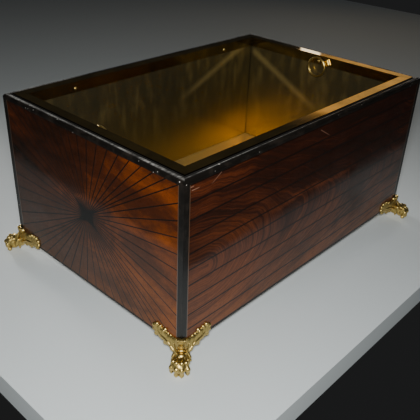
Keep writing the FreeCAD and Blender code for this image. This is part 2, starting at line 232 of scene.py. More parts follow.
# In every finish, a noise is its scale, detail, roughness and distortion, a grain has its stretch before
# those, stops are pairs of a place and a value, and a bump is its strength and its depth in metres.
veneer = {
    "pore": (0.004, 0.0020, 0.0013), "dust": (0.36, 0.30, 0.24),
    # Painted light from the floor: the wood is tinted lighter and browner below the first height, fading out
    # by the second.
    "floorLightTint": (1.40, 1.78, 1.55), "floorLightBelow": 0.03, "paintedLightGoneAbove": 0.17,
    "specks": 85, "speckStretch": (1, 1, 1.4), "speckStops": [(0.0, 1.0), (0.035, 0.0)],
    "dusty": (9, 1), "dustyStops": [(0.60, 0.0), (0.68, 1.0)],
    "satin": (30, 4), "satinStops": [(0.3, 0.37), (0.7, 0.55)],
    "haze": (22, 5, 0.6), "hazeStops": [(0.35, 0.0805), (0.75, 0.184)],
    "wave": (14, 2), "waveBump": (0.35, 0.00035), "poreBump": (0.5, 0.00005),
    "fixed": {"Specular IOR Level": 0.06, "Coat Weight": 1.0, "Coat IOR": 1.25},
}


def varnish(tree, shader, colour, pores, place):
    # Varnish over the wood: slightly wavy, hazy in places and with a few specks of dust on it.
    specks = ramp(tree, cells(tree, moved(tree, place, veneer["speckStretch"]), veneer["specks"]),
                  veneer["speckStops"])
    dusty = ramp(tree, noise(tree, place, *veneer["dusty"]), veneer["dustyStops"])
    colour = mix(tree, calc(tree, "MULTIPLY", specks, dusty), colour, veneer["dust"])
    satin = ramp(tree, noise(tree, place, *veneer["satin"]), veneer["satinStops"])
    setFinish(tree, shader, colour, satin, bump(tree, pores, *veneer["poreBump"]), veneer["fixed"])
    haze = ramp(tree, noise(tree, place, *veneer["haze"]), veneer["hazeStops"])
    feed(tree, haze, shader.inputs["Coat Roughness"])
    wave = bump(tree, noise(tree, place, *veneer["wave"]), *veneer["waveBump"])
    feed(tree, wave, shader.inputs["Coat Normal"])


def woodColour(tree, tone, height, pores, figure):
    # The figure's own colours with dark pores, and painted light from the floor: lighter and browner towards
    # it.
    colour = ramp(tree, tone, figure["colourStops"])
    low = fade(tree, height, veneer["floorLightBelow"], veneer["paintedLightGoneAbove"])
    colour = mix(tree, low, colour, veneer["floorLightTint"], "MULTIPLY")
    return mix(tree, ramp(tree, pores, figure["poreStops"]), colour, veneer["pore"])


# The level lines of a long panel, evenly spaced and all of one width, in metres.
levelLines = {"count": 9, "width": 0.0012, "glue": 0.0006, "glueShare": 0.8}
linesLow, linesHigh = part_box("stringing_front")
linePitch = (linesHigh[2] - linesLow[2] - levelLines["width"]) / (levelLines["count"] - 1)


def glueBeside(tree, height):
    # Dark glue in the veneer along both edges of each level line.
    lowest = linesLow[2] + levelLines["width"] / 2
    step = calc(tree, "DIVIDE", calc(tree, "SUBTRACT", height, lowest), linePitch)
    off = distance(tree, step, calc(tree, "ROUND", step))
    away = calc(tree, "MULTIPLY_ADD", off, linePitch, -levelLines["width"] / 2)
    return calc(tree, "MULTIPLY", fade(tree, away, 0.0, levelLines["glue"]), levelLines["glueShare"])


# The long panels' figure. Places are from the panel's left edge, as seen from outside, and above the floor.
longFigure = {
    "colourStops": [(0.26, (0.0125, 0.0066, 0.0038)), (0.50, (0.031, 0.0084, 0.0038)),
                    (0.80, (0.145, 0.033, 0.0090))],
    "poreStops": [(0.32, 0.55), (0.48, 0.0)],
    "knotAlong": 0.035, "knotHeight": 0.112, "ringReach": 0.16,
    "drift": (9, 3, 0.55), "driftUp": 0.034, "driftOut": 0.014,
    "wander": (38, 3, 0.55), "wanderOut": 0.0022,
    # Growth lines: how fast they change across the rings and along the panel, their detail and roughness.
    "bands": (95.0, 4.0, 2, 0.5), "rings": (500.0, 5.0, 2, 0.55), "lines": (1150.0, 12.0, 2, 0.5),
    "pores": (3200.0, 130.0, 2, 0.6), "lineSeed": 3.0, "poreSeed": 7.0,
    "cloud": ((1, 1, 1.8), 10, 3, 0.55, 0.6),
    "bandShare": 0.30, "ringShare": 0.36, "lineShare": 0.32, "cloudShare": 0.42, "darker": 0.265,
    # The along stops brighten the panel near its left edge, partly as the wood's own tone and partly as
    # painted light. The height stops are painted light from the floor.
    "alongStops": [(0.03, 0.09), (0.20, 0.05), (0.34, 0.0)],
    "floorLightStops": [(0.02, 0.20), (0.11, 0.07), (0.20, 0.0)],
    "flareAbove": 0.022, "flareWidth": 0.006,
    "flareStops": [(0.12, 0.0), (0.17, 0.20), (0.24, 0.20), (0.33, 0.0)],
}

# The scratches of the front, each with its start, its end and its strength.
scratched = {
    "colour": (0.42, 0.22, 0.14), "width": 0.0007,
    "places": [((0.0062, 0.2076), (0.0130, 0.2076), 0.9), ((0.0092, 0.2039), (0.0205, 0.2038), 0.9),
               ((0.0495, 0.2098), (0.0350, 0.2008), 0.5), ((0.2130, 0.2060), (0.2350, 0.1930), 0.6)],
}


def growthLines(tree, field, along, perField, perAlong, detail, roughness, seed):
    where = combine(tree, calc(tree, "MULTIPLY", field, perField), calc(tree, "MULTIPLY", along, perAlong),
                    seed)
    return noise(tree, where, 1.0, detail, roughness)


def longVeneer(name, side, scratches=()):
    # Growth rings close round a knot near one end and run out level towards the other.
    material, tree, shader = newMaterial(name)
    place = objectPlace(tree)
    axes = split(tree, place)
    along = calc(tree, "MULTIPLY_ADD", axes[0], side, case["halfLength"])
    drift = calc(tree, "SUBTRACT", noise(tree, place, *longFigure["drift"]), 0.5)
    wander = calc(tree, "SUBTRACT", noise(tree, place, *longFigure["wander"]), 0.5)
    run = calc(tree, "MAXIMUM", calc(tree, "SUBTRACT", along, longFigure["knotAlong"]), 0.0)
    squeezed = calc(tree, "DIVIDE", run, calc(tree, "MULTIPLY_ADD", run, 1 / longFigure["ringReach"], 1.0))
    off = calc(tree, "SUBTRACT", axes[2], longFigure["knotHeight"])
    off = addUp(tree, [(drift, longFigure["driftUp"])], off)
    squares = calc(tree, "ADD", calc(tree, "POWER", squeezed, 2.0), calc(tree, "POWER", off, 2.0))
    field = calc(tree, "SQRT", squares)
    field = addUp(tree, [(drift, longFigure["driftOut"]), (wander, longFigure["wanderOut"])], field)
    bands = growthLines(tree, field, along, *longFigure["bands"], side)
    rings = growthLines(tree, field, along, *longFigure["rings"], side)
    lines = growthLines(tree, field, along, *longFigure["lines"], longFigure["lineSeed"])
    pores = growthLines(tree, field, along, *longFigure["pores"], longFigure["poreSeed"])
    cloud = grain(tree, place, *longFigure["cloud"])
    tone = addUp(tree, [(bands, longFigure["bandShare"]), (rings, longFigure["ringShare"]),
                        (lines, longFigure["lineShare"]), (cloud, longFigure["cloudShare"])])
    # Brighter near the left edge: partly the wood's own tone, partly painted light.
    tone = calc(tree, "ADD", tone, ramp(tree, along, longFigure["alongStops"]))
    # Painted light from the floor: lighter low down.
    tone = calc(tree, "ADD", tone, ramp(tree, axes[2], longFigure["floorLightStops"]))
    flare = fade(tree, distance(tree, off, longFigure["flareAbove"]), 0.0, longFigure["flareWidth"])
    tone = calc(tree, "MULTIPLY_ADD", flare, ramp(tree, along, longFigure["flareStops"]), tone)
    tone = calc(tree, "SUBTRACT", tone, longFigure["darker"])
    colour = woodColour(tree, tone, axes[2], pores, longFigure)
    colour = mix(tree, glueBeside(tree, axes[2]), colour, veneer["pore"])
    for start, end, share in scratches:
        mark = streak(tree, along, axes[2], start, end, scratched["width"])
        colour = mix(tree, calc(tree, "MULTIPLY", mark, share), colour, scratched["colour"])
    varnish(tree, shader, colour, pores, place)
    return material


# The end panels' figure. Places are from the panel's left edge, as seen from outside, and above the floor.
endFigure = {
    "colourStops": [(0.16, (0.0105, 0.0052, 0.0026)), (0.46, (0.062, 0.0150, 0.0042)),
                    (0.80, (0.28, 0.059, 0.0050))],
    "poreStops": [(0.32, 0.45), (0.48, 0.0)],
    # After the distortion of a grain stand its turn in radians and its shift.
    "clouds": ((1, 9, 21), 1.0, 3, 0.55, 0.5, (0, 0, 0), (0.3, 0.2, 0.55)),
    "wisps": ((1, 24, 62), 1.0, 4, 0.62, 0.6, (0.10, 0, 0)),
    "mottle": ((1, 150, 190), 1.0, 3, 0.6, 0.4, (0.5, 0, 0)),
    "pores": ((1, 700, 2400), 1.0, 2, 0.6, 0.0, (0.10, 0, 0)),
    "cloudShare": 0.95, "wispShare": 0.42, "mottleShare": 0.14, "darker": 0.46,
    "calmBelow": 0.04, "cloudyAbove": 0.15, "calmShare": 0.6, "calmTone": 0.685,
    # The across stops brighten the panel towards its right edge, partly as the wood's own tone and partly as
    # painted light. The height stops are painted light from the floor.
    "acrossStops": [(0.02, 0.0), (0.15, 0.11), (0.29, 0.23)],
    "floorLightStops": [(0.02, 0.07), (0.13, 0.03), (0.15, 0.0)],
}


def endVeneer(name, side):
    # One cloudy sheet with the rays let into it, evener near the floor. It is brightest at its right edge,
    # partly by the wood's own tone and partly by painted light, and lighter near the floor by painted light.
    material, tree, shader = newMaterial(name)
    place = objectPlace(tree)
    axes = split(tree, place)
    across = calc(tree, "MULTIPLY_ADD", axes[1], -side, case["halfWidth"])
    clouds = grain(tree, place, *endFigure["clouds"])
    wisps = grain(tree, place, *endFigure["wisps"])
    mottle = grain(tree, place, *endFigure["mottle"])
    pores = grain(tree, place, *endFigure["pores"])
    tone = addUp(tree, [(clouds, endFigure["cloudShare"]), (wisps, endFigure["wispShare"])])
    low = fade(tree, axes[2], endFigure["calmBelow"], endFigure["cloudyAbove"])
    kept = calc(tree, "MULTIPLY_ADD", low, -endFigure["calmShare"], 1.0)
    offTone = calc(tree, "SUBTRACT", tone, endFigure["calmTone"])
    tone = calc(tree, "MULTIPLY_ADD", offTone, kept, endFigure["calmTone"])
    tone = addUp(tree, [(mottle, endFigure["mottleShare"])], tone)
    # Brighter towards the right edge: partly the wood's own tone, partly painted light.
    tone = calc(tree, "ADD", tone, ramp(tree, across, endFigure["acrossStops"]))
    # Painted light from the floor: lighter low down.
    tone = calc(tree, "ADD", tone, ramp(tree, axes[2], endFigure["floorLightStops"]))
    tone = calc(tree, "SUBTRACT", tone, endFigure["darker"])
    varnish(tree, shader, woodColour(tree, tone, axes[2], pores, endFigure), pores, place)
    return material


dress(longVeneer("veneerFront", 1.0, scratched["places"]), "veneer_front")
dress(longVeneer("veneerBack", -1.0), "veneer_back")
dress(endVeneer("veneerLeft", 1.0), "veneer_left")
dress(endVeneer("veneerRight", -1.0), "veneer_right")
print("veneers dressed")

ebony = {
    "colour": (0.0075, 0.0062, 0.0050), "worn": (0.026, 0.020, 0.015), "chip": (0.55, 0.51, 0.46),
    "brushing": ((1, 1, 0.25), 900, 3, 0.6), "fine": (420, 4, 0.6), "fineShare": 0.6,
    "scuffs": (70, 5, 0.65), "scuffFrom": 0.50, "scuffTo": 0.72,
    "chips": 170, "chipStops": [(0.0, 1.0), (0.08, 1.0), (0.11, 0.0)],
    "chipped": (24, 2), "chippedStops": [(0.55, 0.0), (0.58, 1.0)],
    "roughnessStops": [(0.3, 0.28), (0.7, 0.50)], "coatStops": [(0.3, 0.11), (0.7, 0.25)],
    "bump": (0.30, 0.00005), "coatBump": (0.35, 0.00004),
    "fixed": {"Specular IOR Level": 0.16, "Coat Weight": 0.30},
    # The larger chips on the bead, each with its centre and radius.
    "knocks": [((-0.2246, -0.1445, 0.2134), 0.0008), ((-0.2225, -0.1510, 0.2120), 0.0006),
               ((-0.1760, -0.1470, 0.2160), 0.0013), ((-0.1850, -0.1504, 0.2130), 0.0007)],
}

# The painted highlight along the top of the bead, in metres from the case's sides, and its strokes.
crestHighlight = {
    "colour": (0.46, 0.44, 0.405), "insetShare": 0.55, "abovePanel": 0.002,
    "shortBand": 0.0031, "longBand": 0.0012, "solidShare": 0.5,
    "cornerStops": [(0.0, 1.0), (0.09, 0.75), (0.20, 0.42)],
    "strokesAlong": 620.0, "strokesAcross": 180.0, "slant": 0.5,
    "strokes": (1.0, 2, 0.6), "strokeStops": [(0.38, 0.20), (0.6, 1.0)],
    "uneven": (26, 3, 0.6), "unevenStops": [(0.38, 0.15), (0.56, 1.0)],
}


def paintedCrestHighlight(tree, place):
    # A painted highlight: the bead's top is greyed along its crest, in fine strokes across it, most near the
    # corners. It covers a broader band on the short beads than on the long ones.
    axes = split(tree, place)
    fromEnd = calc(tree, "SUBTRACT", case["halfLength"], calc(tree, "ABSOLUTE", axes[0]))
    fromSide = calc(tree, "SUBTRACT", case["halfWidth"], calc(tree, "ABSOLUTE", axes[1]))
    inset = calc(tree, "MINIMUM", fromEnd, fromSide)
    onShort = calc(tree, "LESS_THAN", fromEnd, fromSide)
    onBead = calc(tree, "GREATER_THAN", axes[2], case["panelTop"] + crestHighlight["abovePanel"])
    near = ramp(tree, calc(tree, "MAXIMUM", fromEnd, fromSide), crestHighlight["cornerStops"])
    spread = calc(tree, "MULTIPLY_ADD", onShort, crestHighlight["shortBand"] - crestHighlight["longBand"], crestHighlight["longBand"])
    spread = calc(tree, "MULTIPLY", spread, near)
    fromCrest = distance(tree, inset, case["beadWidth"] * crestHighlight["insetShare"])
    band = fade(tree, calc(tree, "DIVIDE", fromCrest, spread), crestHighlight["solidShare"], 1.0)
    run = calc(tree, "MULTIPLY_ADD", onShort, calc(tree, "SUBTRACT", axes[1], axes[0]), axes[0])
    slanted = calc(tree, "ADD", run, calc(tree, "MULTIPLY", inset, crestHighlight["slant"]))
    strokePlace = combine(tree, calc(tree, "MULTIPLY", slanted, crestHighlight["strokesAlong"]),
                          calc(tree, "MULTIPLY", inset, crestHighlight["strokesAcross"]), 0.0)
    strokes = ramp(tree, noise(tree, strokePlace, *crestHighlight["strokes"]), crestHighlight["strokeStops"])
    uneven = ramp(tree, noise(tree, place, *crestHighlight["uneven"]), crestHighlight["unevenStops"])
    highlightBand = calc(tree, "MULTIPLY", calc(tree, "MULTIPLY", band, onBead), near)
    return calc(tree, "MULTIPLY", highlightBand, calc(tree, "MULTIPLY", strokes, uneven))


def blackPolish():
    # Black polish with fine cross-brushing, scuffed, with a painted highlight along its crest, and chipped
    # in a few places.
    material, tree, shader = newMaterial("blackWood")
    place = objectPlace(tree)
    fine = noise(tree, place, *ebony["fine"])
    brushing = grain(tree, place, *ebony["brushing"])
    scuffs = noise(tree, place, *ebony["scuffs"])
    colour = ramp(tree, scuffs, [(ebony["scuffFrom"], ebony["colour"]), (ebony["scuffTo"], ebony["worn"])])
    # Painted highlight along the bead's crest.
    colour = mix(tree, paintedCrestHighlight(tree, place), colour, crestHighlight["colour"])
    chips = ramp(tree, cells(tree, place, ebony["chips"]), ebony["chipStops"])
    chipped = ramp(tree, noise(tree, place, *ebony["chipped"]), ebony["chippedStops"])
    chips = calc(tree, "MULTIPLY", chips, chipped)
    for centre, radius in ebony["knocks"]:
        chips = calc(tree, "MAXIMUM", chips, spot(tree, place, centre, radius))
    colour = mix(tree, chips, colour, ebony["chip"])
    height = calc(tree, "MULTIPLY_ADD", fine, ebony["fineShare"], brushing)
    setFinish(tree, shader, colour, ramp(tree, scuffs, ebony["roughnessStops"]),
              bump(tree, height, *ebony["bump"]), ebony["fixed"])
    feed(tree, ramp(tree, fine, ebony["coatStops"]), shader.inputs["Coat Roughness"])
    feed(tree, bump(tree, brushing, *ebony["coatBump"]), shader.inputs["Coat Normal"])
    return material


inlay = {
    "grain": ((90, 90, 90), 6, 4, 0.6), "bump": (0.3, 0.00004),
    "colourStops": [(0.3, (0.003, 0.0026, 0.0022)), (0.75, (0.008, 0.0066, 0.0052))],
    "roughnessStops": [(0.3, 0.40), (0.7, 0.55)],
    "fixed": {"Specular IOR Level": 0.10, "Coat Weight": 0.6, "Coat IOR": 1.25, "Coat Roughness": 0.115},
}

paleLine = {
    "grain": ((300, 300, 12), 1.0, 4, 0.6), "bump": (0.3, 0.00005),
    "colourStops": [(0.3, (0.050, 0.022, 0.010)), (0.7, (0.13, 0.065, 0.030))],
    "roughnessStops": [(0.3, 0.35), (0.7, 0.5)],
    "fixed": {"Coat Weight": 0.8, "Coat Roughness": 0.12},
}


def thinWood(name, wood):
    material, tree, shader = newMaterial(name)
    fibre = grain(tree, objectPlace(tree), *wood["grain"])
    setFinish(tree, shader, ramp(tree, fibre, wood["colourStops"]),
              ramp(tree, fibre, wood["roughnessStops"]), bump(tree, fibre, *wood["bump"]), wood["fixed"])
    return material


# The hidden boards are painted black where they show above the panels, as painted shade in the narrow gap
# between the bead and the rim.
board = {
    "rings": ((6, 90, 90), 1.0, 4, 0.6, 0.4), "fibre": ((60, 900, 900), 1.0, 3, 0.6),
    "ringShare": 0.8, "fibreShare": 0.3,
    "colourStops": [(0.35, (0.13, 0.072, 0.034)), (0.7, (0.30, 0.18, 0.095))],
    "roughnessStops": [(0.3, 0.6), (0.7, 0.8)], "bump": (0.5, 0.0002),
    # Painted shade: black above the first height, bare board below the second.
    "paintedShadeAbove": 0.0015, "bareBelow": 0.001,
}


def plainBoard():
    material, tree, shader = newMaterial("plainBoard")
    place = objectPlace(tree)
    rings = grain(tree, place, *board["rings"])
    fibre = grain(tree, place, *board["fibre"])
    tone = addUp(tree, [(rings, board["ringShare"]), (fibre, board["fibreShare"])])
    # Painted shade where the board shows above the panels.
    shadedTop = fade(tree, split(tree, place)[2], case["panelTop"] + board["paintedShadeAbove"],
                   case["panelTop"] - board["bareBelow"])
    colour = mix(tree, shadedTop, ramp(tree, tone, board["colourStops"]), ebony["colour"])
    setFinish(tree, shader, colour, ramp(tree, fibre, board["roughnessStops"]),
              bump(tree, fibre, *board["bump"]), {})
    return material


dress(blackPolish(), *["corner_post_" + corner for corner in corners],
      *["top_bead_" + side for side in sides])
dress(thinWood("blackInlay", inlay), *["base_line_" + side for side in sides],
      "stringing_front", "stringing_back", "sunburst_left", "sunburst_right")
dress(thinWood("paleLine", paleLine), *["light_lines_" + side for side in sides])
dress(plainBoard(), *["carcass_" + side for side in sides], "bottom_board")
print("woods dressed")

# The tray's inside, in metres: half its length and width, and its floor.
sheetThick = 0.001
trayLow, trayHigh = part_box("liner_tray")
tray = {
    "halfLength": trayHigh[0] - sheetThick, "halfWidth": trayHigh[1] - sheetThick,
    "floor": trayLow[2] + sheetThick,
}
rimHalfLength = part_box("liner_rim_right")[1][0]
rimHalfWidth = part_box("liner_rim_back")[1][1]

# The painted shades of the liner's folds and of the rim's outer edge: where each is full and where it is
# gone, in metres from its fold.
folds = {
    "rimEdge": (-0.0002, -0.0007),
    "cornerShade": (0.0005, 0.0011), "cornerShadeShare": 0.55,
    "crease": (0.0004, 0.0012), "creaseShare": 0.15,
    "haze": (0.0, 0.007), "hazeShare": 0.10,
}


def foldShade(tree, place):
    # Painted shade in the tray's upright corners and round its floor, spreading a little way out from both,
    # and on the rim's outer edge.
    axes = split(tree, place)
    acrossX, acrossY = calc(tree, "ABSOLUTE", axes[0]), calc(tree, "ABSOLUTE", axes[1])
    fromEnd = distance(tree, acrossX, tray["halfLength"])
    fromSide = distance(tree, acrossY, tray["halfWidth"])
    upright = calc(tree, "MAXIMUM", fromEnd, fromSide)
    nearWall = calc(tree, "MINIMUM", fromEnd, fromSide)
    level = calc(tree, "MAXIMUM", nearWall, distance(tree, axes[2], tray["floor"]))
    outward = calc(tree, "MAXIMUM", calc(tree, "SUBTRACT", acrossX, rimHalfLength),
                   calc(tree, "SUBTRACT", acrossY, rimHalfWidth))
    edge = fade(tree, outward, *folds["rimEdge"])
    cornerShade = calc(tree, "MULTIPLY", fade(tree, upright, *folds["cornerShade"]), folds["cornerShadeShare"])
    crease = calc(tree, "MULTIPLY", fade(tree, level, *folds["crease"]), folds["creaseShare"])
    nearFold = calc(tree, "MINIMUM", upright, level)
    haze = calc(tree, "MULTIPLY", fade(tree, nearFold, *folds["haze"]), folds["hazeShare"])
    return calc(tree, "MAXIMUM", calc(tree, "MAXIMUM", edge, cornerShade), calc(tree, "MAXIMUM", crease, haze))


# Two painted light lines, lighter straight marks on the back and the right wall: along the wall and up, in
# metres.
# The wall's depth takes in its inside face, and the sheet's depth leaves out its outside one.
paintedLightLines = {
    "colour": (0.95, 0.74, 0.30), "share": 0.8, "width": 0.0080,
    "back": ((0.2048, 0.2158), (0.0400, 0.1469)), "right": ((0.1308, 0.1985), (-0.0100, 0.1293)),
    "wallDepth": 0.002, "sheetDepth": 0.0003,
}


# Painted light: how strongly the two light lines cover a place.
def paintedLightStreaks(tree, place):
    axes = split(tree, place)
    onBack = calc(tree, "GREATER_THAN", axes[1], tray["halfWidth"] - paintedLightLines["wallDepth"])
    onRight = calc(tree, "GREATER_THAN", axes[0], tray["halfLength"] - paintedLightLines["wallDepth"])
    back = calc(tree, "MULTIPLY", onBack, streak(tree, axes[0], axes[2], *paintedLightLines["back"], paintedLightLines["width"]))
    right = calc(tree, "MULTIPLY", onRight, streak(tree, axes[1], axes[2], *paintedLightLines["right"], paintedLightLines["width"]))
    intoSheet = calc(tree, "MAXIMUM", calc(tree, "SUBTRACT", axes[0], tray["halfLength"]),
                     calc(tree, "SUBTRACT", axes[1], tray["halfWidth"]))
    inside = calc(tree, "LESS_THAN", intoSheet, paintedLightLines["sheetDepth"])
    both = calc(tree, "MULTIPLY", calc(tree, "MAXIMUM", back, right), inside)
    return calc(tree, "MULTIPLY", both, paintedLightLines["share"])


# Heights are in metres, the painted amber glow's above the ground and the dust's above the tray's floor.
# The places of the stain, the dull and the clean metal are on the scale of the blotches' tone.
sheetBrass = {
    # Painted light: an amber glow on the low part of the walls, full below the first height and gone above
    # the second.
    "paintedGlow": (0.345, 0.222, 0.052), "paintedGlowBelow": 0.075, "paintedLightGoneAbove": 0.165,
    "dust": (0.37, 0.29, 0.125), "dustShare": 0.7, "dustDulls": 0.45,
    "dustFull": 0.0006, "dustGone": 0.0010,
    # The colour of the painted shade along the folds and the rim's outer edge.
    "cornerShade": (0.035, 0.028, 0.014),
    "blotch": ((1, 1, 0.7), 22, 4, 0.6, 0.4), "drips": ((85, 85, 20), 1.0, 3, 0.5, 0.3),
    "stainPlace": 0.38, "dullPlace": 0.49, "cleanPlace": 0.62,
    "fine": (160, 4, 0.65), "fineStops": [(0.62, 0.0), (0.75, 0.5)], "fineBump": (0.08, 0.00003),
    "rolled": (5, 1, 0.4), "rolledBump": (0.4, 0.0006),
    "cloudyPlace": 0.30, "cloudyRougher": 0.06, "clearPlace": 0.68, "clearSmoother": 0.02,
    "fixed": {"Specular IOR Level": 0.1},
}
trayFinish = {"clean": (0.45, 0.350, 0.140), "dull": (0.235, 0.188, 0.088), "stain": (0.185, 0.158, 0.084),
              "roughness": 0.205, "dripShare": 0.55, "metallic": 0.86}
rimFinish = {"clean": (0.62, 0.43, 0.15), "dull": (0.48, 0.34, 0.13), "stain": (0.33, 0.25, 0.11),
             "roughness": 0.06, "dripShare": 0.2, "metallic": 0.98}


def sheetMetal(name, sheet):
    # Tarnished sheet: blotched, run with drips and dusty on the floor, with a painted amber glow low down,
    # two painted light lines and painted shade along its folds.
    material, tree, shader = newMaterial(name)
    place = objectPlace(tree)
    height = split(tree, place)[2]
    blotch = grain(tree, place, *sheetBrass["blotch"])
    drips = grain(tree, place, *sheetBrass["drips"])
    fine = noise(tree, place, *sheetBrass["fine"])
    tone = addUp(tree, [(blotch, 1 - sheet["dripShare"]), (drips, sheet["dripShare"])])
    colour = ramp(tree, tone, [(sheetBrass["stainPlace"], sheet["stain"]),
                               (sheetBrass["dullPlace"], sheet["dull"]),
                               (sheetBrass["cleanPlace"], sheet["clean"])])
    colour = mix(tree, ramp(tree, fine, sheetBrass["fineStops"]), colour, sheet["stain"])
    # Painted light: an amber glow low on the walls.
    paintedGlow = fade(tree, height, sheetBrass["paintedGlowBelow"], sheetBrass["paintedLightGoneAbove"])
    colour = mix(tree, paintedGlow, colour, sheetBrass["paintedGlow"])
    aboveFloor = calc(tree, "SUBTRACT", height, tray["floor"])
    onFloor = fade(tree, aboveFloor, sheetBrass["dustFull"], sheetBrass["dustGone"])
    colour = mix(tree, calc(tree, "MULTIPLY", onFloor, sheetBrass["dustShare"]), colour, sheetBrass["dust"])
    # Painted light: two light lines on the walls by the back corner.
    colour = mix(tree, paintedLightStreaks(tree, place), colour, paintedLightLines["colour"])
    # Painted shade along the tray's folds and the rim's outer edge.
    colour = mix(tree, foldShade(tree, place), colour, sheetBrass["cornerShade"])
    cloudy = sheet["roughness"] + sheetBrass["cloudyRougher"]
    clear = sheet["roughness"] - sheetBrass["clearSmoother"]
    roughness = ramp(tree, blotch, [(sheetBrass["cloudyPlace"], cloudy), (sheetBrass["clearPlace"], clear)])
    rolled = bump(tree, noise(tree, place, *sheetBrass["rolled"]), *sheetBrass["rolledBump"])
    setFinish(tree, shader, colour, roughness, bump(tree, fine, *sheetBrass["fineBump"], rolled),
              sheetBrass["fixed"])
    metallic = calc(tree, "MULTIPLY_ADD", onFloor, -sheetBrass["dustDulls"], sheet["metallic"])
    feed(tree, metallic, shader.inputs["Metallic"])
    return material


dress(sheetMetal("trayMetal", trayFinish), "liner_tray")
dress(sheetMetal("rimMetal", rimFinish), *["liner_rim_" + side for side in sides])

steel = {
    "fine": (900, 4, 0.6), "bump": (0.3, 0.00004),
    "colourStops": [(0.35, (0.16, 0.15, 0.14)), (0.7, (0.38, 0.37, 0.36))],
    "roughnessStops": [(0.3, 0.3), (0.7, 0.5)], "fixed": {"Metallic": 1.0},
}


def plainSteel():
    material, tree, shader = newMaterial("plainSteel")
    fine = noise(tree, objectPlace(tree), *steel["fine"])
    setFinish(tree, shader, ramp(tree, fine, steel["colourStops"]),
              ramp(tree, fine, steel["roughnessStops"]), bump(tree, fine, *steel["bump"]), steel["fixed"])
    return material


dress(plainSteel(), "foot_screws", "bottom_screws")

castBrass = {
    "high": (0.66, 0.48, 0.155), "low": (0.15, 0.10, 0.030),
    "hollowStops": [(0.43, 1.0), (0.492, 0.25), (0.52, 0.0)],
    "mottle": (260, 4, 0.6), "mottleStops": [(0.45, 0.0), (0.7, 0.35)], "mottleBump": (0.25, 0.0004),
    "grit": (1500, 3, 0.6), "gritBump": (0.25, 0.00008),
    "roughnessStops": [(0.0, 0.33), (1.0, 0.53)], "fixed": {"Metallic": 1.0},
    "footDulling": 1.0, "pinDulling": 0.6,
}


def castMetal(name, dulling):
    # Cast brass, bright on its edges and dark in its hollows, partly tarnish and partly painted shade, with
    # a mottled skin.
    material, tree, shader = newMaterial(name)
    place = objectPlace(tree)
    edge = tree.nodes.new("ShaderNodeNewGeometry").outputs["Pointiness"]
    # The hollows' darkening is partly tarnish and partly painted shade.
    hollow = ramp(tree, edge, castBrass["hollowStops"])
    mottle = noise(tree, place, *castBrass["mottle"])
    grit = noise(tree, place, *castBrass["grit"])
    dulled = ramp(tree, mottle, castBrass["mottleStops"])
    shade = calc(tree, "MULTIPLY_ADD", dulled, dulling, hollow, clamp=True)
    rough = bump(tree, mottle, *castBrass["mottleBump"])
    skin = bump(tree, grit, *castBrass["gritBump"], rough)
    setFinish(tree, shader, mix(tree, shade, castBrass["high"], castBrass["low"]),
              ramp(tree, shade, castBrass["roughnessStops"]), skin, castBrass["fixed"])
    return material


footMetal = castMetal("footMetal", castBrass["footDulling"])
dress(footMetal, "ring_lug_left", "ring_lug_right", "lifting_ring_left", "lifting_ring_right")
dress(castMetal("pinMetal", castBrass["pinDulling"]), "foot_pins", "collar_rivets")
print("metals dressed")

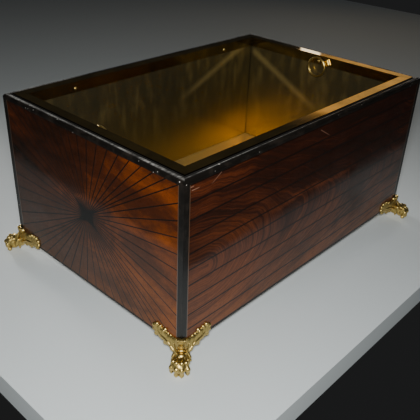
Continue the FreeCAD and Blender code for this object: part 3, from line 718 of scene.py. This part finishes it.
# A foot, in millimetres, with the case's lower corner at the origin and its underside at height 0.
# Wing entries are along the wing and up. Paw entries are sideways, outward along the diagonal and up.
foot = {
    "voxel": 0.40, "smoothing": 0.5, "smoothSteps": 6,
    "ballSegments": 20, "ballRings": 12, "limbSegments": 16,
    # Flat balls of a wing: along, up, their two radii, half thickness and turn in degrees.
    "wingCore": [(4, 3.0, 8, 8.2, 3.0, 0), (11, 2.0, 8, 8.2, 3.0, 0), (18, 2.6, 8, 7.4, 2.9, 2),
                 (25, 4.0, 8, 7.0, 2.7, 6), (32, 5.6, 7, 6.6, 2.5, 10), (37.5, 7.0, 4.8, 6.0, 2.2, 12),
                 (11, -3.2, 7, 4.6, 3.5, -8), (20, -1.4, 8, 4.6, 3.4, 4), (29, 0.8, 8, 4.2, 3.2, 12),
                 (36, 3.0, 5, 3.8, 2.8, 14)],
    "coreOut": 0.4, "lobeOut": 0.5,
    # Lobes along a wing's edges: along, up and radius.
    "upperLobes": [(40.4, 9.2, 2.8), (36.6, 12.4, 2.6), (31.4, 12.2, 2.2), (19.8, 9.7, 1.4),
                   (15.8, 9.3, 1.3), (12.0, 9.2, 1.3), (8.8, 9.3, 1.3)],
    "lowerLobes": [(40.8, 3.8, 2.4), (37.2, -0.4, 2.9), (31.6, 0.2, 2.1), (27.4, -0.8, 2.3),
                   (22.8, -4.4, 3.1), (17.2, -3.8, 2.2), (12.6, -6.6, 3.0)],
    # The seat under the pin's head: along, up, radius and how far out.
    "pinSeat": (25.1, 10.6, 3.4, -0.8),
    # Raised veins of a wing: start, end and the radii there, each place along, up and out.
    "veins": [((38, 7.4, 2.0), (28, 2.8, 3.0), 0.7, 1.0), ((28, 2.8, 3.0), (17, 0.8, 3.4), 1.0, 1.3),
              ((17, 0.8, 3.4), (7, -4.8, 4.2), 1.3, 1.4), ((28, 2.8, 3.0), (23.4, -3.4, 2.2), 0.8, 0.6),
              ((20, 1.4, 3.3), (13.4, -5.6, 2.4), 0.8, 0.6), ((34, 5.4, 2.4), (37.0, 0.8, 1.9), 0.7, 0.6),
              ((34, 5.6, 2.4), (36.0, 11.2, 1.9), 0.7, 0.6), ((28, 3.0, 3.0), (31.2, 10.8, 1.9), 0.7, 0.6),
              ((17, 1.0, 3.4), (19.8, 9.0, 2.0), 0.7, 0.5), ((12, 0.0, 3.4), (12.6, 8.8, 2.2), 0.7, 0.5)],
    # The hollow-fronted corner: height, how far its front stands out, and radius.
    "shell": [(10.0, 4.0, 6.4), (8.0, 3.3, 6.2), (5.4, 2.9, 6.0), (2.4, 3.5, 6.4), (-0.8, 4.8, 7.0),
              (-4.2, 6.4, 7.8)],
    "shellHalfHeight": 3.8,
    "cheeks": [((8.0, 1.8, 9.0), (6.6, 4.2, 2.0), 1.1, 1.3), ((6.6, 4.2, 2.0), (3.8, 7.2, -3.6), 1.3, 1.1)],
    "legBalls": [((0, 2.6, -7.4), (7.4, 7.4, 8.2)), ((0, 6.2, -6.0), (6.4, 6.4, 5.4))],
    "knee": ((0, 7.9, -2.2), (5.4, 4.0, 3.6)),
    "tufts": [((7.0, 3.6, -2.6), (8.8, 5.6, -5.4), 2.0, 1.8),
              ((7.6, 5.0, -6.4), (9.6, 6.4, -9.0), 1.9, 1.5),
              ((6.8, 6.4, -9.6), (8.2, 7.4, -12.4), 1.9, 1.2),
              ((4.4, 3.6, -11.6), (5.0, 3.2, -16.2), 2.0, 1.1)],
    "heel": ((0, 4.4, -12.0), (0, 4.4, -17.2), 2.3, 1.1),
    "pads": [((-1.6, 14.4, -9.6), (8.6, 8.6, 7.6)), ((-1.4, 12.4, -13.0), (7.4, 7.4, 6.4))],
    # A toe's root, knuckle, joint and tip, and its radius.
    "toes": [
        ((-6.0, 9.6, -3.6), (-8.2, 13.0, -4.8), (-10.0, 15.8, -10.2), (-9.8, 13.2, -17.3), 2.7),
        ((-3.4, 11.0, -2.8), (-4.8, 16.8, -3.8), (-5.0, 20.3, -9.4), (-4.9, 18.8, -17.3), 2.85),
        ((0.8, 11.2, -2.6), (0.6, 17.4, -3.6), (0.6, 21.6, -9.2), (0.6, 19.8, -17.3), 2.9),
        ((4.2, 10.2, -3.4), (5.2, 15.0, -4.8), (6.8, 18.6, -10.2), (6.8, 16.2, -17.3), 2.8),
    ],
    # Shares of a toe's radius: the thin and the thick ends of its limbs, its joint and its tip.
    "thinShare": 0.72, "thickShare": 0.80, "jointShare": 1.04, "tipShare": 0.96,
    # A claw, with its places as shares of its toe's tip and radius, and the rest in millimetres.
    "claw": {"asideShare": 1.03, "rootShare": 0.6, "pointShare": 1.02, "rise": 2.6, "drop": 1.4,
             "rootRadius": 1.15, "pointRadius": 0.55},
    # Small beads in an arc over the hollow corner, the middle one highest.
    "arc": {"beadsAside": 4, "step": 18, "radius": 5.6, "centreOut": -1.9, "top": 13.2, "fall": 0.2,
            "bead": (0.75, 0.75, 1.5)},
    "plateReach": 40.0, "plateThick": 3.0,
    # How high the case's underside is over the floor, and how far the cutting blocks reach.
    "standing": 20, "cutReach": 60, "cutHigh": 40, "cutDeep": 30,
}


def clearSelection():
    bpy.ops.object.select_all(action="DESELECT")


def choose(piece):
    clearSelection()
    piece.select_set(True)
    bpy.context.view_layer.objects.active = piece


def fromWing(along, up, out, flip):
    return Vector((-out, along, up)) if flip else Vector((along, -out, up))


def fromPaw(aside, out, up):
    half = math.sqrt(0.5)
    return Vector(((aside - out) * half, (-aside - out) * half, up))


# Turns a ball so that its first radius lies sideways across the foot's diagonal.
pawTurn = Matrix.Rotation(math.radians(-45), 4, "Z")


def addBlock(low, high):
    bpy.ops.mesh.primitive_cube_add(size=1.0, location=(0, 0, 0))
    block = bpy.context.object
    middle = [(a + b) / 2 for a, b in zip(low, high)]
    size = [b - a for a, b in zip(low, high)]
    block.data.transform(Matrix.Translation(middle) @ Matrix.Diagonal((*size, 1.0)))
    return block


def addBall(parts, centre, radii, turn=None):
    bpy.ops.mesh.primitive_uv_sphere_add(segments=foot["ballSegments"], ring_count=foot["ballRings"],
                                         radius=1.0, location=(0, 0, 0))
    ball = bpy.context.object
    shape = Matrix.Diagonal((*radii, 1.0))
    ball.data.transform(Matrix.Translation(centre) @ (turn or Matrix.Identity(4)) @ shape)
    parts.append(ball)


def addLimb(parts, start, end, startRadius, endRadius):
    run = end - start
    bpy.ops.mesh.primitive_cone_add(vertices=foot["limbSegments"], radius1=startRadius, radius2=endRadius,
                                    depth=run.length, location=(0, 0, 0))
    cone = bpy.context.object
    turn = run.to_track_quat("Z", "Y").to_matrix().to_4x4()
    cone.data.transform(Matrix.Translation((start + end) / 2) @ turn)
    parts.append(cone)
    addBall(parts, start, (startRadius,) * 3)
    addBall(parts, end, (endRadius,) * 3)


def addPawLimb(parts, side, start, end, startRadius, endRadius):
    # A limb in the paw's directions, as listed or on the other side of the diagonal.
    start = fromPaw(side * start[0], start[1], start[2])
    end = fromPaw(side * end[0], end[1], end[2])
    addLimb(parts, start, end, startRadius, endRadius)


def addWing(parts, flip):
    outward = Vector((-1, 0, 0)) if flip else Vector((0, -1, 0))
    for along, up, longRadius, shortRadius, thick, degrees in foot["wingCore"]:
        angle = math.radians(degrees)
        lengthwise = fromWing(math.cos(angle), math.sin(angle), 0, flip)
        turn = Matrix((lengthwise, outward.cross(lengthwise), outward)).transposed().to_4x4()
        addBall(parts, fromWing(along, up, foot["coreOut"], flip), (longRadius, shortRadius, thick), turn)
    for along, up, radius in foot["upperLobes"] + foot["lowerLobes"]:
        addBall(parts, fromWing(along, up, foot["lobeOut"], flip), (radius,) * 3)
    along, up, radius, out = foot["pinSeat"]
    addBall(parts, fromWing(along, up, out, flip), (radius,) * 3)
    for start, end, startRadius, endRadius in foot["veins"]:
        addLimb(parts, fromWing(*start, flip), fromWing(*end, flip), startRadius, endRadius)


def addCornerShell(parts):
    for up, front, radius in foot["shell"]:
        addBall(parts, fromPaw(0, front - radius, up), (radius, radius, foot["shellHalfHeight"]))
    arc = foot["arc"]
    for place in range(-arc["beadsAside"], arc["beadsAside"] + 1):
        turn = place * math.radians(arc["step"])
        aside = arc["radius"] * math.sin(turn)
        out = arc["centreOut"] + arc["radius"] * math.cos(turn)
        addBall(parts, fromPaw(aside, out, arc["top"] - arc["fall"] * abs(place)), arc["bead"])
    for side in (-1, 1):
        for cheek in foot["cheeks"]:
            addPawLimb(parts, side, *cheek)


def addLeg(parts):
    for centre, radii in foot["legBalls"]:
        addBall(parts, fromPaw(*centre), radii)
    centre, radii = foot["knee"]
    addBall(parts, fromPaw(*centre), radii, pawTurn)
    for side in (-1, 1):
        for tuft in foot["tufts"]:
            addPawLimb(parts, side, *tuft)
    addPawLimb(parts, 1, *foot["heel"])


def addClaw(parts, tip, radius):
    claw = foot["claw"]
    root = fromPaw(tip[0], tip[1] + radius * claw["rootShare"], tip[2] + claw["rise"])
    point = fromPaw(tip[0] * claw["asideShare"], tip[1] + radius * claw["pointShare"], tip[2] - claw["drop"])
    addLimb(parts, root, point, claw["rootRadius"], claw["pointRadius"])


def addPaw(parts):
    thin, thick = foot["thinShare"], foot["thickShare"]
    for centre, radii in foot["pads"]:
        addBall(parts, fromPaw(*centre), radii)
    for root, knuckle, joint, tip, radius in foot["toes"]:
        addLimb(parts, fromPaw(*root), fromPaw(*knuckle), radius * thin, radius * thick)
        addLimb(parts, fromPaw(*knuckle), fromPaw(*joint), radius * thick, radius * thick)
        addLimb(parts, fromPaw(*joint), fromPaw(*tip), radius * thick, radius * thin)
        addBall(parts, fromPaw(*knuckle), (radius,) * 3)
        addBall(parts, fromPaw(*joint), (radius * foot["jointShare"],) * 3)
        addBall(parts, fromPaw(*tip), (radius * foot["tipShare"],) * 3)
        addClaw(parts, tip, radius)


def addPlate(parts):
    # The plate under the case that the screw goes through, cut square to the corner's diagonal.
    reach, thick = foot["plateReach"], foot["plateThick"]
    plate = addBlock((0, 0, -thick), (reach, reach, 0))
    bpy.ops.object.mode_set(mode="EDIT")
    bpy.ops.mesh.select_all(action="SELECT")
    bpy.ops.mesh.bisect(plane_co=(reach / 2, reach / 2, 0), plane_no=(1, 1, 0), use_fill=True,
                        clear_outer=True)
    bpy.ops.object.mode_set(mode="OBJECT")
    parts.append(plate)


def joinParts(parts, name):
    clearSelection()
    for part in parts:
        part.select_set(True)
    bpy.context.view_layer.objects.active = parts[0]
    bpy.ops.object.join()
    whole = bpy.context.object
    whole.name = name
    whole.data.name = name
    return whole


def applied(piece, kind, **settings):
    modifier = piece.modifiers.new(kind, kind)
    for key, value in settings.items():
        setattr(modifier, key, value)
    choose(piece)
    bpy.ops.object.modifier_apply(modifier=modifier.name)


def cutAway(piece, low, high):
    cutter = addBlock(low, high)
    applied(piece, "BOOLEAN", object=cutter, operation="DIFFERENCE", solver="EXACT")
    bpy.data.objects.remove(cutter)


def buildFoot():
    parts = []
    for flip in (False, True):
        addWing(parts, flip)
    addCornerShell(parts)
    addLeg(parts)
    addPaw(parts)
    addPlate(parts)
    whole = joinParts(parts, "footPattern")
    applied(whole, "REMESH", mode="VOXEL", voxel_size=foot["voxel"], adaptivity=0.0)
    applied(whole, "SMOOTH", factor=foot["smoothing"], iterations=foot["smoothSteps"])
    # The case stands in the corner between the wings, and the soles are cut flat on the floor.
    reach = foot["cutReach"]
    cutAway(whole, (0, 0, 0), (reach, reach, foot["cutHigh"]))
    cutAway(whole, (-reach, -reach, -foot["cutDeep"]), (reach, reach, -foot["standing"]))
    return whole


def placeFeet():
    pattern = buildFoot()
    for quarter, corner in enumerate(corners):
        piece = pattern.copy()
        piece.data = pattern.data.copy()
        bpy.context.scene.collection.objects.link(piece)
        piece.name = "pawFoot_" + corner
        x = case["halfLength"] * (1 if "right" in corner else -1)
        y = case["halfWidth"] * (1 if "back" in corner else -1)
        turn = Matrix.Rotation(math.radians(90 * quarter), 4, "Z")
        piece.data.transform(Matrix.Translation((x, y, case["underside"])) @ turn @ Matrix.Scale(mm, 4))
        piece.data.materials.clear()
        piece.data.materials.append(footMetal)
        choose(piece)
        bpy.ops.object.shade_smooth()
        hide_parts("foot_" + corner)
        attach(piece, "case")
        print("foot", corner, len(piece.data.polygons), "faces")
    bpy.data.objects.remove(pattern)


placeFeet()
print("feet built")

# The floor's near and far edges and its thickness, in metres.
stage = {"nearX": -0.368, "nearY": -0.268, "farX": 1.6, "farY": 1.6, "thick": 0.03,
         "colour": (0.76, 0.81, 0.805), "roughness": 0.6}


def layFloor():
    clearSelection()
    floor = addBlock((stage["nearX"], stage["nearY"], -stage["thick"]), (stage["farX"], stage["farY"], 0))
    floor.name = "floor"
    material, tree, shader = newMaterial("floorPaint")
    feed(tree, (*stage["colour"], 1), shader.inputs["Base Color"])
    shader.inputs["Roughness"].default_value = stage["roughness"]
    floor.data.materials.append(material)


layFloor()
print("floor laid")

# The first four light the box as it was photographed. The last two are low and narrow, for the views from
# behind. Places, aims and sizes are in metres, powers in watts and spreads in degrees.
roomColour = (0.014, 0.0143, 0.0146)
lights = {
    "key": {"place": (-0.60, -0.515, 0.56), "aim": (-0.05, 0.0, 0.10), "size": (0.10, 0.08), "power": 7.4,
            "colour": (0.97, 0.99, 1.0), "spread": 180},
    "above": {"place": (0.36, 0.49, 1.34), "aim": (-0.225, -0.151, 0.216), "size": (1.1, 0.16), "power": 0.7,
              "colour": (1.0, 0.99, 0.97), "spread": 180},
    "warm": {"place": (1.435, 0.61, 0.70), "aim": (0.1, -0.13, 0.217), "size": (0.46, 0.22), "power": 0.24,
             "colour": (1.0, 0.62, 0.22), "spread": 180},
    "white": {"place": (1.32, 0.75, 0.57), "aim": (0.21, 0.03, 0.217), "size": (0.07, 0.08), "power": 0.05,
              "colour": (1.0, 0.97, 0.90), "spread": 180},
    "behind": {"place": (0.16, 1.10, 0.26), "aim": (0.02, 0.0, 0.12), "size": (0.60, 0.20), "power": 0.8,
               "colour": (1.0, 0.99, 0.97), "spread": 32},
    "beside": {"place": (1.25, 0.10, 0.26), "aim": (0.0, 0.0, 0.12), "size": (0.40, 0.20), "power": 0.16,
               "colour": (1.0, 0.99, 0.97), "spread": 22},
}


def hangLight(name, settings):
    data = bpy.data.lights.new(name, "AREA")
    data.shape = "RECTANGLE"
    data.size, data.size_y = settings["size"]
    data.energy = settings["power"]
    data.color = settings["colour"]
    data.spread = math.radians(settings["spread"])
    lamp = bpy.data.objects.new(name, data)
    bpy.context.scene.collection.objects.link(lamp)
    lamp.location = settings["place"]
    lamp.rotation_euler = (Vector(settings["aim"]) - lamp.location).to_track_quat("-Z", "Y").to_euler()


def lightRoom():
    world = bpy.data.worlds.new("room")
    bpy.context.scene.world = world
    world.use_nodes = True
    background = world.node_tree.nodes["Background"]
    background.inputs["Color"].default_value = (*roomColour, 1)
    background.inputs["Strength"].default_value = 1.0


for name, settings in lights.items():
    hangLight(name, settings)
lightRoom()
print("lights hung")

# The place and aim in metres, the lens and sensor in millimetres, and the roll in degrees.
camera = {"place": (-0.56198, -0.48605, 0.46433), "aim": (-0.10863, -0.07764, 0.110),
          "lens": 52.2, "sensor": 36, "roll": 2.508}


def setCamera():
    data = bpy.data.cameras.new("camera")
    data.lens = camera["lens"]
    data.sensor_width = camera["sensor"]
    eye = bpy.data.objects.new("camera", data)
    bpy.context.scene.collection.objects.link(eye)
    eye.location = camera["place"]
    look = (Vector(camera["aim"]) - eye.location).to_track_quat("-Z", "Y")
    roll = Matrix.Rotation(math.radians(camera["roll"]), 3, "Z")
    eye.rotation_euler = (look.to_matrix() @ roll).to_euler()
    bpy.context.scene.camera = eye


setCamera()
print("camera set")
